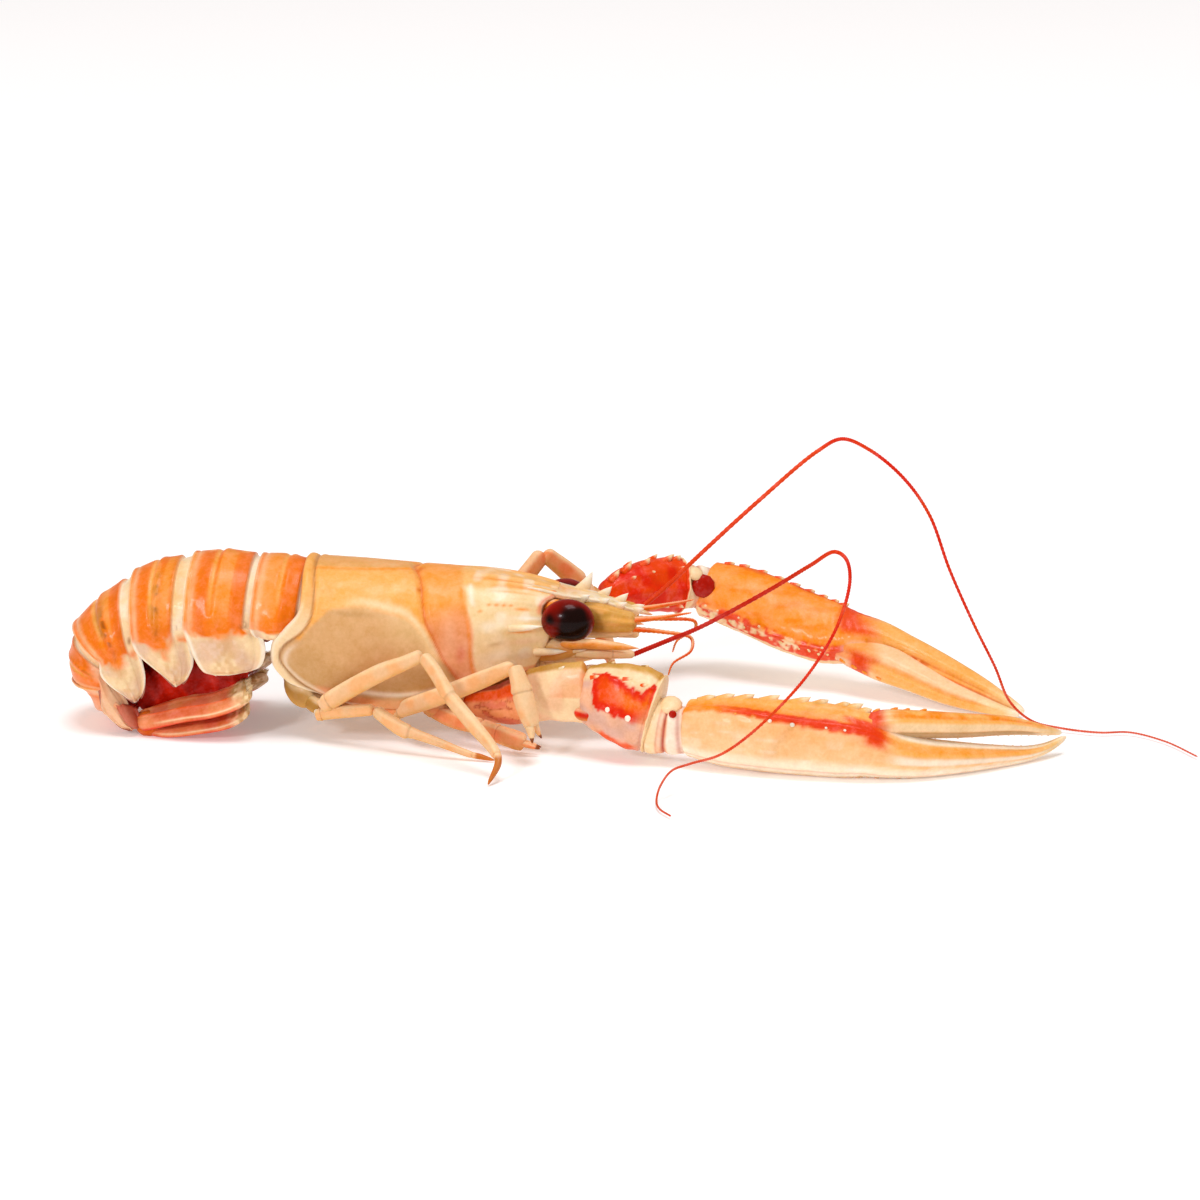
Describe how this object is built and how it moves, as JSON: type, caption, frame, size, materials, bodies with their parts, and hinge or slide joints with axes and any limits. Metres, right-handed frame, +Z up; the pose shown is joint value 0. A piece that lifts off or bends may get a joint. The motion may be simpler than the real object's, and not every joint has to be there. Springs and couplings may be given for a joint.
{
  "type": "cooked langoustine",
  "caption": "Whole boiled langoustine at rest on its belly, tail curled under, slim spiny claws stretched forward, long thin red feelers.",
  "frame": {"origin": "centre of the bounding box's bottom face, in the plane the animal rests on", "axes": "+X forward from the tail towards the claw tips, +Y to the animal's left, +Z up"},
  "size_m": [0.2309, 0.1082, 0.06],
  "materials": {
    "shell": "boiled shell, beige to orange, thin wet gloss",
    "tail": "boiled shell, orange bands with cream flaps, thin wet gloss",
    "fan": "boiled shell, salmon pink to tan, thin wet gloss",
    "flesh": "dark red cooked membrane, moist",
    "eye": "black brown, high gloss",
    "limb": "boiled shell, cream to pale orange, thin wet gloss",
    "claw": "boiled shell, orange bands on cream, white spine tips",
    "wrist": "boiled shell, red orange, white spine tips",
    "feeler": "red, smooth and thin"
  },
  "bodies": {
    "root": {"carapace": "shell", "abdomen_2": "tail", "abdomen_1": "tail", "abdomen_3": "tail", "abdomen_4": "tail", "abdomen_5": "tail", "abdomen_6": "tail", "telson": "fan", "tail_fan_inner_right": "fan", "tail_fan_outer_right": "fan", "tail_fan_inner_left": "fan", "tail_fan_outer_left": "fan", "eye_right": "eye", "eye_left": "eye", "feeler_base_right": "limb", "feeler_scale_right": "claw", "short_feeler_right": "feeler", "feeler_whip_right": "feeler", "jaw_leg_right": "limb", "feeler_base_left": "limb", "feeler_scale_left": "claw", "short_feeler_left": "feeler", "feeler_whip_left": "feeler", "jaw_leg_left": "limb", "claw_hand_right": "claw", "claw_finger_right": "claw", "claw_wrist_right": "wrist", "claw_arm_right": "claw", "claw_hand_left": "claw", "claw_finger_left": "claw", "claw_wrist_left": "wrist", "claw_arm_left": "claw", "leg_2_right_upper": "limb", "leg_2_right_lower": "limb", "leg_3_right_upper": "limb", "leg_3_right_lower": "limb", "leg_4_right_upper": "limb", "leg_4_right_lower": "limb", "leg_5_right_upper": "limb", "leg_5_right_lower": "limb", "leg_2_left_upper": "limb", "leg_2_left_lower": "limb", "leg_3_left_upper": "limb", "leg_3_left_lower": "limb", "leg_4_left_upper": "limb", "leg_4_left_lower": "limb", "leg_5_left_upper": "limb", "leg_5_left_lower": "limb", "underside": "limb", "swimmeret_1_right": "flesh", "swimmeret_1_left": "flesh", "swimmeret_2_right": "flesh", "swimmeret_2_left": "flesh", "swimmeret_3_right": "flesh", "swimmeret_3_left": "flesh", "swimmeret_4_right": "flesh", "swimmeret_4_left": "flesh"}
  },
  "joints": []
}
